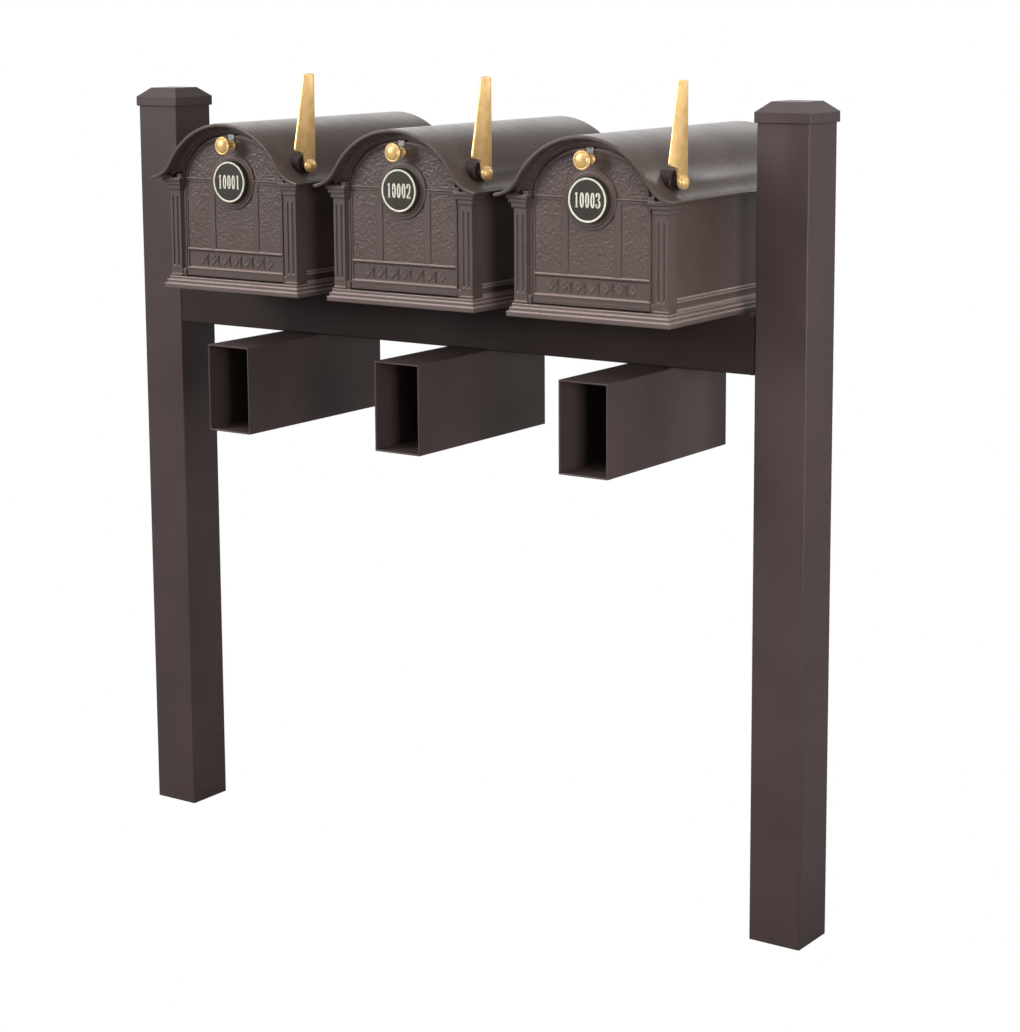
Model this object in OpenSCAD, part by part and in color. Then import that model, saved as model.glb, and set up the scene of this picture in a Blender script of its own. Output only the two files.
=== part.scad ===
// Three-bay pedestal mailbox unit: two square posts, a cross beam, three cast mailboxes
// with drop-down doors and signal flags, and three newspaper boxes under the beam.
// Millimetres. +Z up, fronts face -Y, +X to the right of somebody facing the doors.
// Origin: on the ground, at the middle of the unit's bounding box.

/* [Posts] */
// outside width of each square post
post_w = 101.6; // [90:0.1:110]
// wall thickness of the posts
post_wall = 3.2; // [2.5:0.1:5]
// height from the ground to the flat top of the post caps
post_total_h = 1500; // [1440:1:1560]
// distance between the two post centre lines
post_spacing = 1436; // [1400:1:1500]
// outside corner radius of posts and beam
tube_corner_r = 3; // [2:0.5:5]

/* [Post caps] */
// outside width of the cap's rim
cap_w = 109.4; // [108:0.2:116]
// height of the upright rim of a cap
cap_rim_h = 19.7; // [16:0.1:24]
// height of the sloping part of a cap
cap_slope_h = 16.8; // [12:0.1:22]
// width of the flat on top of a cap
cap_flat_w = 65.5; // [50:0.5:75]

/* [Cross beam] */
// outside width and height of the square beam
beam_w = 101.6; // [95:0.1:105]
// wall thickness of the beam
beam_wall = 3; // [2.5:0.1:4]
// height of the beam's top face above the ground
beam_top = 1128; // [1050:1:1150]
// gap between each beam end and its post
beam_gap = 1.6; // [1:0.1:3]

/* [Row of mailboxes] */
// centre-to-centre distance of the mailboxes
box_pitch = 402; // [395:1:410]
// how far the row is set to the right of the post mid-line
row_shift = 54; // [0:1:60]
// distance of the base moulding's front ahead of the post centre line
box_front = 262; // [250:1:275]

/* [Mailbox] */
// width over the base moulding
base_w = 332; // [326:1:340]
// front-to-back length over the base moulding
box_len = 523; // [480:1:560]
// height from base to the top of the roof
box_h = 320; // [316:1:326]
// radius of the roof's barrel, outside
roof_r = 158; // [156:1:160]
// angle from the top at which the barrel turns into the flare
roof_turn = 58.7; // [58:0.1:60]
// radius of the flare above the eave, outside
flare_r = 60; // [56:1:64]
// roof shell thickness
roof_t = 4; // [3:0.5:5]
// overhang of the hood ahead of the base moulding
hood = 16; // [10:1:20]
// wall thickness of the cast walls
wall = 4; // [3:0.5:5]

/* [Door] */
// half of the door's width
door_hw = 120.5; // [119:0.5:121]
// height of the arch's spring line above the mailbox base
spring_z = 209; // [206:1:210]
// rise of the door's arch
arch_rise = 88; // [84:1:90]
// half of the width of the door's sunk fields
field_hw = 116; // [113:0.5:117]
// diameter of the round number plate
plaque_d = 81; // [70:1:84]
// diameter of the gold knob
knob_d = 34; // [28:1:38]

/* [Flag] */
// height of the flag's tip above its pivot
flag_len = 170; // [150:1:180]
// reach of the blade's foot ahead of the pivot
flag_foot = 42; // [34:1:46]
// blade thickness
flag_t = 5; // [4:0.5:6]

/* [Newspaper boxes] */
// outside width of a newspaper box
news_w = 100; // [96:1:110]
// outside height of a newspaper box
news_h = 166; // [150:1:180]
// front-to-back length of a newspaper box
news_len = 406; // [380:1:430]
// wall thickness of a newspaper box
news_t = 2; // [1.5:0.5:3]
// distance of the mouth ahead of the post centre line
news_front = 272; // [260:1:285]

/* [Hidden] */
$fn = 48;

bronze = [0.29, 0.25, 0.24];
bronze_dark = [0.20, 0.17, 0.16];
bronze_cast = [0.37, 0.33, 0.32];
gold = [0.85, 0.66, 0.35];
steel = [0.62, 0.62, 0.60];
plate_dark = [0.22, 0.22, 0.18];

// fore-and-aft extents of the whole unit about the post centre line
knob_face = -19;
front_reach = box_front - knob_face;
rear_reach = box_len - box_front + 6;
// shift that puts the middle of the bounding box over the origin
y_mid = (front_reach - rear_reach) / 2;

post_top = post_total_h - cap_slope_h - 4;
rim_low = post_total_h - cap_slope_h - cap_rim_h;
beam_low = beam_top - beam_w;
beam_mid = beam_top - beam_w / 2;
beam_half = (post_spacing - post_w) / 2 - beam_gap;
face_x = (post_spacing - post_w) / 2;

// roof outline: barrel centre and flare centre
roof_zc = box_h - roof_r;
flare_x = (roof_r + flare_r) * sin(roof_turn);
flare_z = roof_zc + (roof_r + flare_r) * cos(roof_turn);
flare_end = 8;
lip = 4;

// door hinge axis and flag pivot, in the mailbox's own frame
hinge_y = 20;
hinge_z = 29.5;
pivot_y = 48;
pivot_z = 243;
blade_x = 158;

step_z = [0, 9, 16, 22.5];
step_in = [0, 3.5, 7];

// ---------- shared shapes ----------

module rounded_square(w, r) {
  square([w - 2 * r, w], center = true);
  square([w, w - 2 * r], center = true);
  for (a = [-1, 1], b = [-1, 1])
    translate([a * (w / 2 - r), b * (w / 2 - r)]) circle(r, $fn = 24);
}

module square_tube(w, t, r, len) {
  linear_extrude(len) difference() {
    rounded_square(w, r);
    square(w - 2 * t, center = true);
  }
}

// extrudes an X-Z outline from y0 to y1
module slab_y(y0, y1) {
  translate([0, y1, 0]) rotate([90, 0, 0]) linear_extrude(y1 - y0) children();
}

module block(x0, x1, y0, y1, z0, z1) {
  translate([x0, y0, z0]) cube([x1 - x0, y1 - y0, z1 - z0]);
}

module rod_x(x0, x1, r, y, z) {
  translate([x0, y, z]) rotate([0, 90, 0]) cylinder(h = x1 - x0, r = r);
}

module rod_y(y0, y1, r, x, z) {
  translate([x, y1, z]) rotate([90, 0, 0]) cylinder(h = y1 - y0, r = r);
}

module rod_z(z0, z1, r, x, y) {
  translate([x, y, z0]) cylinder(h = z1 - z0, r = r);
}

// places its children in the frame of mailbox k: base centre, base front, base bottom
module at_box(k) {
  translate([row_shift + (k - 2) * box_pitch, y_mid - box_front, beam_top]) children();
}

// half of the roof line, from the top to the eave, t inside the outer skin
function roof_half(t) = concat(
  [for (i = [0:14]) let (a = roof_turn * i / 14)
    [(roof_r - t) * sin(a), roof_zc + (roof_r - t) * cos(a)]],
  [for (i = [1:11]) let (a = roof_turn + (flare_end - roof_turn) * i / 11)
    [flare_x - (flare_r + t) * sin(a), flare_z - (flare_r + t) * cos(a)]],
  [[flare_x - (flare_r + t) * sin(flare_end) + lip * cos(flare_end),
    flare_z - (flare_r + t) * cos(flare_end) - lip * sin(flare_end)]]);

function flip(p) = [for (i = [len(p) - 1:-1:0]) [-p[i][0], p[i][1]]];
function back(p) = [for (i = [len(p) - 1:-1:0]) p[i]];
function roof_line(t) = concat(flip(roof_half(t)), [for (i = [1:len(roof_half(t)) - 1]) roof_half(t)[i]]);

// strip of the roof between depths t0 and t1
module roof_strip(t0, t1) {
  polygon(concat(roof_line(t0), back(roof_line(t1))));
}

// everything under the roof line at depth t, down to z0, no wider than hw
module under_roof(t, z0, hw) {
  e = roof_half(t)[len(roof_half(t)) - 1];
  intersection() {
    polygon(concat([[-e[0], z0]], roof_line(t), [[e[0], z0]]));
    translate([-hw, z0]) square([2 * hw, 400]);
  }
}

// door outline: straight sides to the spring line, then a half ellipse
module arched(hw, z0, zs, rise) {
  polygon(concat([[-hw, z0]],
    [for (i = [0:40]) let (a = 180 - 180 * i / 40) [hw * cos(a), zs + rise * sin(a)]],
    [[hw, z0]]));
}

// ---------- posts, beam and their joints ----------

module post(s) {
  color(bronze) translate([s * post_spacing / 2, y_mid, 0]) difference() {
    square_tube(post_w, post_wall, tube_corner_r, post_top);
    for (z = [beam_mid - 22, beam_mid + 22]) translate([0, 0, z])
      rotate([0, -s * 90, 0]) cylinder(h = post_w, r = 4.3);
  }
}

module square_block(w0, w1, z0, z1) {
  translate([0, 0, z0]) rotate([0, 0, 45])
    cylinder(h = z1 - z0, r1 = w0 / sqrt(2), r2 = w1 / sqrt(2), $fn = 4);
}

module post_cap(s) {
  rim_top = rim_low + cap_rim_h;
  color(bronze) translate([s * post_spacing / 2, y_mid, 0]) difference() {
    union() {
      translate([0, 0, rim_low + 1]) linear_extrude(cap_rim_h - 2.2) rounded_square(cap_w, 2);
      square_block(cap_w - 2.4, cap_w - 1, rim_low, rim_low + 1);
      square_block(cap_w - 1, cap_w - 4, rim_top - 1.2, rim_top);
      square_block(cap_w - 4, cap_flat_w, rim_top, post_total_h);
    }
    translate([0, 0, rim_low - 1]) linear_extrude(post_top - rim_low + 1.3)
      square(post_w + 0.6, center = true);
    square_block(post_w - 8, cap_flat_w - 12, post_top + 0.2, post_total_h - 4);
  }
}

module cross_beam() {
  color(bronze_dark) difference() {
    translate([-beam_half, y_mid, beam_mid]) rotate([0, 90, 0])
      square_tube(beam_w, beam_wall, tube_corner_r, 2 * beam_half);
    // screws into the end brackets, top and bottom
    for (s = [-1, 1], y = [-26, 26])
      rod_z(beam_low - 5, beam_top + 5, 3.2, s * (beam_half - 16), y_mid + y);
    for (k = [1:3], a = [-1, 1], b = [-1, 1]) at_box(k)
      rod_z(-beam_wall - 1, 1, 4.3, a * 80, box_front + b * 28);
    for (k = [1:3], b = [-1, 1]) at_box(k)
      rod_z(-beam_w - 1, 1 - beam_w + beam_wall, 3.3, 0, box_front + b * 28);
  }
}

// socket that is bolted to a post and reaches into the beam's end
module beam_bracket(s) {
  inner = beam_w - 2 * beam_wall - 0.8;
  color(bronze_dark) translate([s * face_x, y_mid, beam_mid]) rotate([0, -s * 90, 0]) difference() {
    translate([0, 0, 0.1]) linear_extrude(42) square(inner, center = true);
    translate([0, 0, 5]) linear_extrude(60) square(inner - 8, center = true);
    for (z = [-22, 22]) translate([z, 0, -1]) cylinder(h = 8, r = 4.3);
    for (y = [-26, 26]) translate([0, y, 16 + beam_gap]) rotate([0, 90, 0])
      cylinder(h = 120, r = 2.6, center = true);
  }
}

module hex_bolt_x(s, x_head, y, z, shank) {
  translate([x_head, y, z]) rotate([0, s * 90, 0]) {
    translate([0, 0, -5.3]) cylinder(h = 5.3, r = 7.5, $fn = 6);
    cylinder(h = shank, r = 4);
    translate([0, 0, 5 + post_wall + 0.1]) cylinder(h = 6.5, r = 7.5, $fn = 6);
  }
}

module bracket_bolts() {
  color(steel) for (s = [-1, 1], z = [beam_mid - 22, beam_mid + 22])
    hex_bolt_x(s, s * (face_x - 5), y_mid, z, 18);
}

// pan-head screws through the beam's top and bottom walls
module beam_screws() {
  x = beam_half - 16;
  color(steel) for (s = [-1, 1], y = [-26, 26], u = [-1, 1]) translate([s * x, y_mid + y, beam_mid])
    rotate([u < 0 ? 180 : 0, 0, 0]) {
      translate([0, 0, beam_w / 2]) cylinder(h = 2.4, r1 = 6, r2 = 5.4);
      translate([0, 0, beam_w / 2 + 2.4]) cylinder(h = 1.4, r1 = 5.4, r2 = 3.2);
      translate([0, 0, beam_w / 2 - 11]) cylinder(h = 11, r = 2.5);
    }
}

module bolt_down(x, y, head_z, grip, r, head_r) {
  translate([x, y, head_z]) {
    cylinder(h = 5, r = head_r, $fn = 6);
    translate([0, 0, -grip - 9]) cylinder(h = grip + 9, r = r);
    translate([0, 0, -grip - 6]) cylinder(h = 6, r = head_r, $fn = 6);
  }
}

module mailbox_bolts() {
  color(steel) for (k = [1:3], a = [-1, 1], b = [-1, 1]) at_box(k)
    bolt_down(a * 80, box_front + b * 28, step_z[3], step_z[3] + beam_wall, 4, 7);
}

module newspaper_box_bolts() {
  color(steel) for (k = [1:3], b = [-1, 1]) at_box(k)
    bolt_down(0, box_front + b * 28, -beam_w + beam_wall, beam_wall + news_t, 3, 5.5);
}

// ---------- mailbox ----------

// stepped skirt, floor and side walls
module mailbox_body(k) {
  hw = base_w / 2;
  top = 221;
  color(bronze_cast) at_box(k) difference() {
    union() {
      for (i = [0:2]) block(-hw + step_in[i], hw - step_in[i], step_in[i], box_len - step_in[i],
        step_z[i], step_z[i + 1]);
      for (s = [-1, 1]) {
        block(s > 0 ? 150 - wall : -150, s > 0 ? 150 : wall - 150, 26, box_len - 12, step_z[3] - 1, top);
        // side mouldings: low bead with a fillet under the plain panel, and a cove above the base
        side_bar(s, 1.6, 42, box_len - 12, 41, 45);
        side_bar(s, 3.2, 42, box_len - 12, 36, 40.5);
        side_bar(s, 2.4, 42, box_len - 12, step_z[3] - 1, 26);
      }
    }
    block(9 - hw, hw - 9, 14, box_len - 14, -1, step_z[3] - wall);
    for (a = [-1, 1], b = [-1, 1]) rod_z(10, 30, 4.3, a * 80, box_front + b * 28);
  }
}

module side_bar(s, proud, y0, y1, z0, z1) {
  block(s > 0 ? 149 : -150 - proud, s > 0 ? 150 + proud : -149, y0, y1, z0, z1);
}

// casting round the door: arch plate, pilasters with capitals, pin blocks and a door stop
module mailbox_surround(k) {
  color(bronze_cast) at_box(k) difference() {
    union() {
      // plate the door shuts into, and the stop behind it
      slab_y(17, 22.6) difference() {
        under_roof(roof_t + 0.4, step_z[3], 149.6);
        arched(door_hw + 1, 0, spring_z, arch_rise + 2.5);
      }
      slab_y(22.5, 25.6) difference() {
        under_roof(roof_t + 0.4, 40, 145.4);
        arched(door_hw - 5, 0, spring_z, arch_rise - 5);
      }
      // two mouldings that follow the roof
      slab_y(7, 17.1) intersection() {
        roof_strip(roof_t + 0.4, roof_t + 7);
        translate([-150, 214]) square([300, 120]);
      }
      slab_y(12, 17.1) intersection() {
        roof_strip(roof_t + 6.5, roof_t + 13);
        translate([-146, 222]) square([292, 120]);
      }
      for (s = [0, 1]) mirror([s, 0, 0]) pilaster();
    }
    for (s = [-1, 1]) rod_x(s > 0 ? 100 : -141, s > 0 ? 141 : -100, 3.02, hinge_y, hinge_z);
    // notch in the stop for the clip on the door's top edge
    block(-7.8, 7.8, 22, 26, spring_z + arch_rise - 9, spring_z + arch_rise + 1.6);
  }
}

module pilaster() {
  x0 = 130;
  x1 = 156;
  zc = 190;
  difference() {
    block(x0, x1, 11, 17.2, step_z[3], zc + 1);
    for (x = [x0 + 7.5, x1 - 7.5]) {
      block(x - 1.9, x + 1.9, 10, 12.8, 45, 175);
      for (z = [45, 175]) rod_y(10, 12.8, 1.9, x, z);
    }
  }
  for (x = [x0 + 8, x1 - 8]) translate([x, 11.1, 39]) rotate([90, 0, 0])
    cylinder(h = 1.7, r1 = 2.5, r2 = 1.4, $fn = 20);
  // side return, clear of the side wall
  block(150.2, x1, 17, 41, step_z[3], zc + 1);
  block(x0, x1, 11, 17.2, zc, 214);
  block(150.2, x1, 17, 41, zc, 214);
  // capital of three steps
  cap_step(127.5, 159.5, 7.5, 44, zc, 199.2);
  cap_step(124.5, 163, 4, 47, 199, 206.2);
  cap_step(door_hw + 1, 166, 0.5, 50, 206, 212.6);
  // plinth of the pilaster
  block(x0 - 1.5, x1 + 1, 9.6, 17.2, step_z[3], 27);
  // small block at the arch's foot
  block(door_hw + 1.5, 133, 5, 17.2, 212.5, 219);
  // block that holds the hinge pin, and half of the sill behind the door's foot
  block(door_hw + 1.3, 145.4, 13, 27.5, step_z[3], 37);
  block(-0.1, door_hw + 2, 27, 30, step_z[3], 36);
}

module cap_step(x0, x1, y0, y1, z0, z1) {
  difference() {
    block(x0, x1, y0, y1, z0, z1);
    block(0, 150.2, 17.2, 60, z0 - 1, z1 + 1);
  }
}

module mailbox_roof(k) {
  color(bronze_cast) at_box(k) difference() {
    union() {
      slab_y(-hood, box_len + 6) roof_strip(0, roof_t);
      // thicker rims at the mouth of the hood and at the rear
      slab_y(-hood + 0.5, 5 - hood) rim_strip(2.6);
      slab_y(box_len + 2, box_len + 5.5) rim_strip(2);
    }
    rod_x(100, 170, 4.3, pivot_y, pivot_z);
  }
}

// inward bead of depth d along the roof, short of the eave tips
module rim_strip(d) {
  intersection() {
    roof_strip(1, roof_t + d);
    translate([-170, 0]) square([340, 400]);
  }
}

module mailbox_rear_panel(k) {
  y = box_len - 11.8;
  color(bronze_cast) at_box(k) {
    slab_y(y, y + wall) under_roof(roof_t + 0.4, step_z[3] + 0.1, 150);
    slab_y(y + wall - 0.1, y + wall + 2) difference() {
      under_roof(roof_t + 8, step_z[3] + 0.1, 146);
      under_roof(roof_t + 20, step_z[3] + 16, 130);
    }
  }
}

module mailbox_door(k) {
  color(bronze_cast) at_box(k) difference() {
    union() {
      slab_y(18, 22) arched(door_hw, hinge_z - 3, spring_z, arch_rise);
      // raised frame round the sunk fields
      slab_y(16, 18.5) difference() {
        arched(door_hw - 1.2, hinge_z - 2, spring_z, arch_rise - 1.2);
        arched(field_hw - 2, spring_z + 4, spring_z + 4.5, 0.9 * arch_rise - 4.5);
        for (x = [-field_hw, 60.5]) translate([x, 79]) square([field_hw - 60.5, spring_z - 83]);
        translate([-47, 79]) square([94, spring_z - 83]);
        translate([-field_hw, 42]) square([2 * field_hw, 31]);
      }
      // inner line of the arch
      slab_y(15, 16.5) intersection() {
        difference() {
          arched(door_hw - 2.4, 100, spring_z, arch_rise - 2.4);
          arched(door_hw - 5, 90, spring_z, arch_rise - 5);
        }
        translate([-200, spring_z + 4.5]) square([400, 200]);
      }
      // beads under the panels, above the foot, and on the rail
      block(-field_hw - 1, field_hw + 1, 14.6, 19, 74.5, 77.5);
      block(-field_hw - 3, field_hw + 3, 14.6, 19, 37.8, 40.6);
      block(-field_hw - 1, field_hw + 1, 14.8, 19, spring_z + 1.5, spring_z + 4.2);
      // round medallion behind the number plate
      rod_y(14.4, 20, 52, 0, spring_z);
      rod_y(13, 20, 47, 0, spring_z);
      // foot rail, and the hinge barrel behind it
      block(1 - door_hw, door_hw - 1, 15.2, 20, 25.1, 38);
      rod_x(0.2 - door_hw, door_hw - 0.2, 4.6, hinge_y, hinge_z);
    }
    for (s = [-1, 1]) rod_x(s > 0 ? 101 : -130, s > 0 ? 130 : -101, 3.05, hinge_y, hinge_z);
    rod_y(10, 30, 3.2, 0, 278);
    for (s = [-1, 1]) rod_y(10, 30, 2.2, s * 26, spring_z);
  }
}

module mailbox_hinge_pins(k) {
  color(steel) at_box(k) for (s = [-1, 1])
    rod_x(s > 0 ? 104 : -138, s > 0 ? 138 : -104, 3, hinge_y, hinge_z);
}

// round gold knob on a stem, with its nut behind the door
module mailbox_knob(k) {
  r = knob_d / 2;
  color(gold) at_box(k) translate([0, 16, 278]) rotate([90, 0, 0]) {
    rotate_extrude($fn = 64) polygon(concat(
      [[0, 0], [9, 0], [9, 1.6], [6.5, 3.4], [5.6, 5.5], [5.4, 10], [6.4, 13.5], [9.4, 17.5]],
      [[r - 3, 21.5]],
      [[r - 0.8, 24.4], [r, 26.6], [r, 29], [r - 1, 30.2], [r - 2.6, 30.2], [r - 3.2, 29.6]],
      [for (i = [1:8]) let (a = 90 * i / 8) [(r - 3.6) * cos(a), 29.6 + 5.4 * sin(a)]]));
    translate([0, 0, -9.4]) cylinder(h = 9.6, r = 3);
    translate([0, 0, -9.1]) cylinder(h = 3.1, r = 6, $fn = 6);
  }
}

// round number plate with a raised ring and two studs
module mailbox_number_plate(k) {
  r = plaque_d / 2;
  color(plate_dark) at_box(k) translate([0, 13, spring_z]) rotate([90, 0, 0]) {
    rotate_extrude($fn = 96) polygon([[0, 0], [r - 0.6, 0], [r, 0.6], [r, 5.6], [r - 0.5, 7.2],
      [r - 1.4, 8.6], [r - 2.2, 9.2], [r - 5.6, 9.2], [r - 6.2, 8.2], [0, 8.2]]);
    for (s = [-1, 1]) translate([s * 26, 0, -10.4]) cylinder(h = 10.5, r = 2);
  }
}

// steel clip over the top edge of the door, for the magnet
module mailbox_strike(k) {
  top = spring_z + arch_rise;
  color(steel) at_box(k) {
    block(-7, 7, 13.6, 14.8, top - 9, top + 1.1);
    block(-7, 7, 13.6, 23, top + 0.1, top + 1.1);
    block(-7, 7, 22.1, 23, top - 11, top + 1.1);
  }
}

// magnet block hung behind the arch plate
module mailbox_catch(k) {
  top = spring_z + arch_rise;
  color([0.12, 0.12, 0.12]) at_box(k) {
    block(-10, 10, 23.4, 36, top - 11.5, top - 6);
    block(-10, 10, 25.8, 29, top - 11, top + 13);
  }
}

// upright blade on a round hub
module mailbox_flag(k) {
  color(gold) at_box(k) translate([blade_x, pivot_y, pivot_z]) difference() {
    union() {
      rotate([90, 0, 90]) linear_extrude(flag_t) {
        polygon([[-11, 0], [16, 0], [16, flag_len - 3], [13, flag_len], [-9, flag_len],
          [-12, flag_len - 3], [-flag_foot, 34], [-flag_foot, 31], [-flag_foot + 3, 28.5],
          [-20, 26], [-14, 20]]);
        circle(13);
      }
      translate([flag_t - 0.1, 0, 0]) rotate([0, 90, 0]) cylinder(h = 2.6, r = 12.5);
    }
    translate([-5, 0, 0]) rotate([0, 90, 0]) cylinder(h = 30, r = 4.05);
  }
}

// dark boss on the roof's flank that carries the flag
module mailbox_flag_mount(k) {
  color(bronze_dark) at_box(k) difference() {
    union() {
      rod_x(140, blade_x - 0.4, 11, pivot_y, pivot_z);
      // round boss on the roof, with a chamfered rim
      rod_x(112, 147.5, 20, pivot_y, pivot_z);
      translate([147.4, pivot_y, pivot_z]) rotate([0, 90, 0]) cylinder(h = 2, r1 = 20, r2 = 18);
    }
    slab_y(-hood, 120) under_roof(-0.2, 0, 200);
    rod_x(120, 170, 4.1, pivot_y, pivot_z);
  }
}

// domed bolt that the flag turns on, with its nut inside the roof
module mailbox_flag_pivot(k) {
  x = blade_x + flag_t + 2.8;
  color(gold) at_box(k) {
    rod_x(118, x + 0.1, 4, pivot_y, pivot_z);
    translate([x, pivot_y, pivot_z]) rotate([0, 90, 0]) rotate_extrude($fn = 48) polygon(concat(
      [[0, 0], [11, 0], [11.4, 0.6], [11.4, 2], [10.6, 2.8], [9.6, 2.8]],
      [for (i = [0:7]) let (a = 90 * i / 7) [9 * cos(a), 2.8 + 4 * sin(a)]]));
    translate([119, pivot_y, pivot_z]) rotate([0, 90, 0]) cylinder(h = 5, r = 7, $fn = 6);
  }
}

// inverted channel between the beam and the mailbox floor
module mailbox_base_channel(k) {
  top = step_z[3] - wall;
  color(bronze_dark) at_box(k) difference() {
    block(-115, 115, box_front - 47, box_front + 47, 0, top);
    block(-120, 120, box_front - 44, box_front + 44, -1, top - 3);
    for (a = [-1, 1], b = [-1, 1]) rod_z(5, 30, 4.3, a * 80, box_front + b * 28);
  }
}

// sheet box open at the front, closed at the rear
module newspaper_box(k) {
  x = news_w / 2;
  y0 = box_front - news_front;
  color(bronze) at_box(k) translate([0, 0, -beam_w]) difference() {
    block(-x, x, y0, y0 + news_len, -news_h, 0);
    block(news_t - x, x - news_t, y0 - 5, y0 + news_len - news_t, news_t - news_h, -news_t);
    for (b = [-1, 1]) rod_z(-10, 5, 3.3, 0, box_front + b * 28);
  }
}

post(-1);  // left_post
post(1);  // right_post
post_cap(-1);  // left_post_cap
post_cap(1);  // right_post_cap
cross_beam();
beam_bracket(-1);  // left_beam_bracket
beam_bracket(1);  // right_beam_bracket
bracket_bolts();
beam_screws();
mailbox_bolts();
newspaper_box_bolts();
mailbox_body(1);  // mailbox_1_body
mailbox_body(2);  // mailbox_2_body
mailbox_body(3);  // mailbox_3_body
mailbox_surround(1);  // mailbox_1_surround
mailbox_surround(2);  // mailbox_2_surround
mailbox_surround(3);  // mailbox_3_surround
mailbox_roof(1);  // mailbox_1_roof
mailbox_roof(2);  // mailbox_2_roof
mailbox_roof(3);  // mailbox_3_roof
mailbox_rear_panel(1);  // mailbox_1_rear_panel
mailbox_rear_panel(2);  // mailbox_2_rear_panel
mailbox_rear_panel(3);  // mailbox_3_rear_panel
mailbox_door(1);  // mailbox_1_door
mailbox_door(2);  // mailbox_2_door
mailbox_door(3);  // mailbox_3_door
mailbox_hinge_pins(1);  // mailbox_1_hinge_pins
mailbox_hinge_pins(2);  // mailbox_2_hinge_pins
mailbox_hinge_pins(3);  // mailbox_3_hinge_pins
mailbox_knob(1);  // mailbox_1_knob
mailbox_knob(2);  // mailbox_2_knob
mailbox_knob(3);  // mailbox_3_knob
mailbox_number_plate(1);  // mailbox_1_number_plate
mailbox_number_plate(2);  // mailbox_2_number_plate
mailbox_number_plate(3);  // mailbox_3_number_plate
mailbox_strike(1);  // mailbox_1_strike
mailbox_strike(2);  // mailbox_2_strike
mailbox_strike(3);  // mailbox_3_strike
mailbox_catch(1);  // mailbox_1_catch
mailbox_catch(2);  // mailbox_2_catch
mailbox_catch(3);  // mailbox_3_catch
mailbox_flag(1);  // mailbox_1_flag
mailbox_flag(2);  // mailbox_2_flag
mailbox_flag(3);  // mailbox_3_flag
mailbox_flag_mount(1);  // mailbox_1_flag_mount
mailbox_flag_mount(2);  // mailbox_2_flag_mount
mailbox_flag_mount(3);  // mailbox_3_flag_mount
mailbox_flag_pivot(1);  // mailbox_1_flag_pivot
mailbox_flag_pivot(2);  // mailbox_2_flag_pivot
mailbox_flag_pivot(3);  // mailbox_3_flag_pivot
mailbox_base_channel(1);  // mailbox_1_base_channel
mailbox_base_channel(2);  // mailbox_2_base_channel
mailbox_base_channel(3);  // mailbox_3_base_channel
newspaper_box(1);  // newspaper_box_1
newspaper_box(2);  // newspaper_box_2
newspaper_box(3);  // newspaper_box_3
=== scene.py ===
"""Looks for the three-bay pedestal mailbox unit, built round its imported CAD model.

Mailbox pieces are made in millimetres in a mailbox's own frame and placed on each of the three
mailboxes. That frame starts at the base's centre, front and bottom: X right, Y to the rear, Z up.
"""

import math

import bmesh
import bpy
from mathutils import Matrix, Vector, noise

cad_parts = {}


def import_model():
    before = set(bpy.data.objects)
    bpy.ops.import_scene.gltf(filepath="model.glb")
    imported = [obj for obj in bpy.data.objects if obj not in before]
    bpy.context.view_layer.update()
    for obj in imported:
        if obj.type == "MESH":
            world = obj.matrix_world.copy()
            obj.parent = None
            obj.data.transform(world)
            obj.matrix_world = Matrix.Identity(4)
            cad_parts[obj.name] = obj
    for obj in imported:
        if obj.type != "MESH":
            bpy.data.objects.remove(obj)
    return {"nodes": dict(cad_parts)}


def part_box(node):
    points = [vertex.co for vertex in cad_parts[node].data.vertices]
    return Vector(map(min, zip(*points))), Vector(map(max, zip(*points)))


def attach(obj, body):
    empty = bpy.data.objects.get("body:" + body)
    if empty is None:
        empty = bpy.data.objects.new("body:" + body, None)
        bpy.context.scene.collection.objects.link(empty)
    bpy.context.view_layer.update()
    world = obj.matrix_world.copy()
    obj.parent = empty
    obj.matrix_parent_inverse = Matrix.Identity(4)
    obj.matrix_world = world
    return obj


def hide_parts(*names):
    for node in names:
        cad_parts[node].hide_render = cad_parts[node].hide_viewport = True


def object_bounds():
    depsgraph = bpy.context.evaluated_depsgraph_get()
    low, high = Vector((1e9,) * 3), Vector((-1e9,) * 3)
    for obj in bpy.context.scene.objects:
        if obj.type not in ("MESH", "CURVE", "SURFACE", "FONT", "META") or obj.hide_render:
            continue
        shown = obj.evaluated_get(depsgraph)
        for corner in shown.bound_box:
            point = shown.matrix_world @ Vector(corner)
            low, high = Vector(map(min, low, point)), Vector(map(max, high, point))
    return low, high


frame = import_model()
cad_low, cad_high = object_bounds()
NODES = frame["nodes"]
MM = 0.001
BOXES = (1, 2, 3)
MERGE_MM = 1e-4  # vertices closer than this become one

# roof outline: barrel, flare and lip, as in the CAD
ROOF_R = 158.0
ROOF_TURN = 58.7  # degrees from the top to the start of the flare
FLARE_R = 60.0
FLARE_END = 8.0  # slope of the lip in degrees
LIP = 4.0
ROOF_T = 4.0
ROOF_TOP = 320.0
HOOD = 16.0  # how far the roof stands out at the front
ROOF_BACK = 529.0

# roof shell: rounded ends, a bead inside the mouth and one inside the rear edge
BARREL_STEPS = 48
TIP_POINTS = 5  # points round each eave lip
EDGE_R = 1.6
EDGE_STEPS = 4
HOOD_BEAD = 2.6
HOOD_BEAD_SLOPE = ((3.4, 2.6), (4.6, 1.6), (5.2, 0.0))  # distance from the mouth, extra thickness
ROOF_STATIONS = (30.0, 120.0, 260.0, 400.0)
REAR_BEAD = 2.0
REAR_BEAD_SLOPE = ((5.0, 0.0), (4.2, 1.8))  # distance from the rear edge, extra thickness

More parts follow.
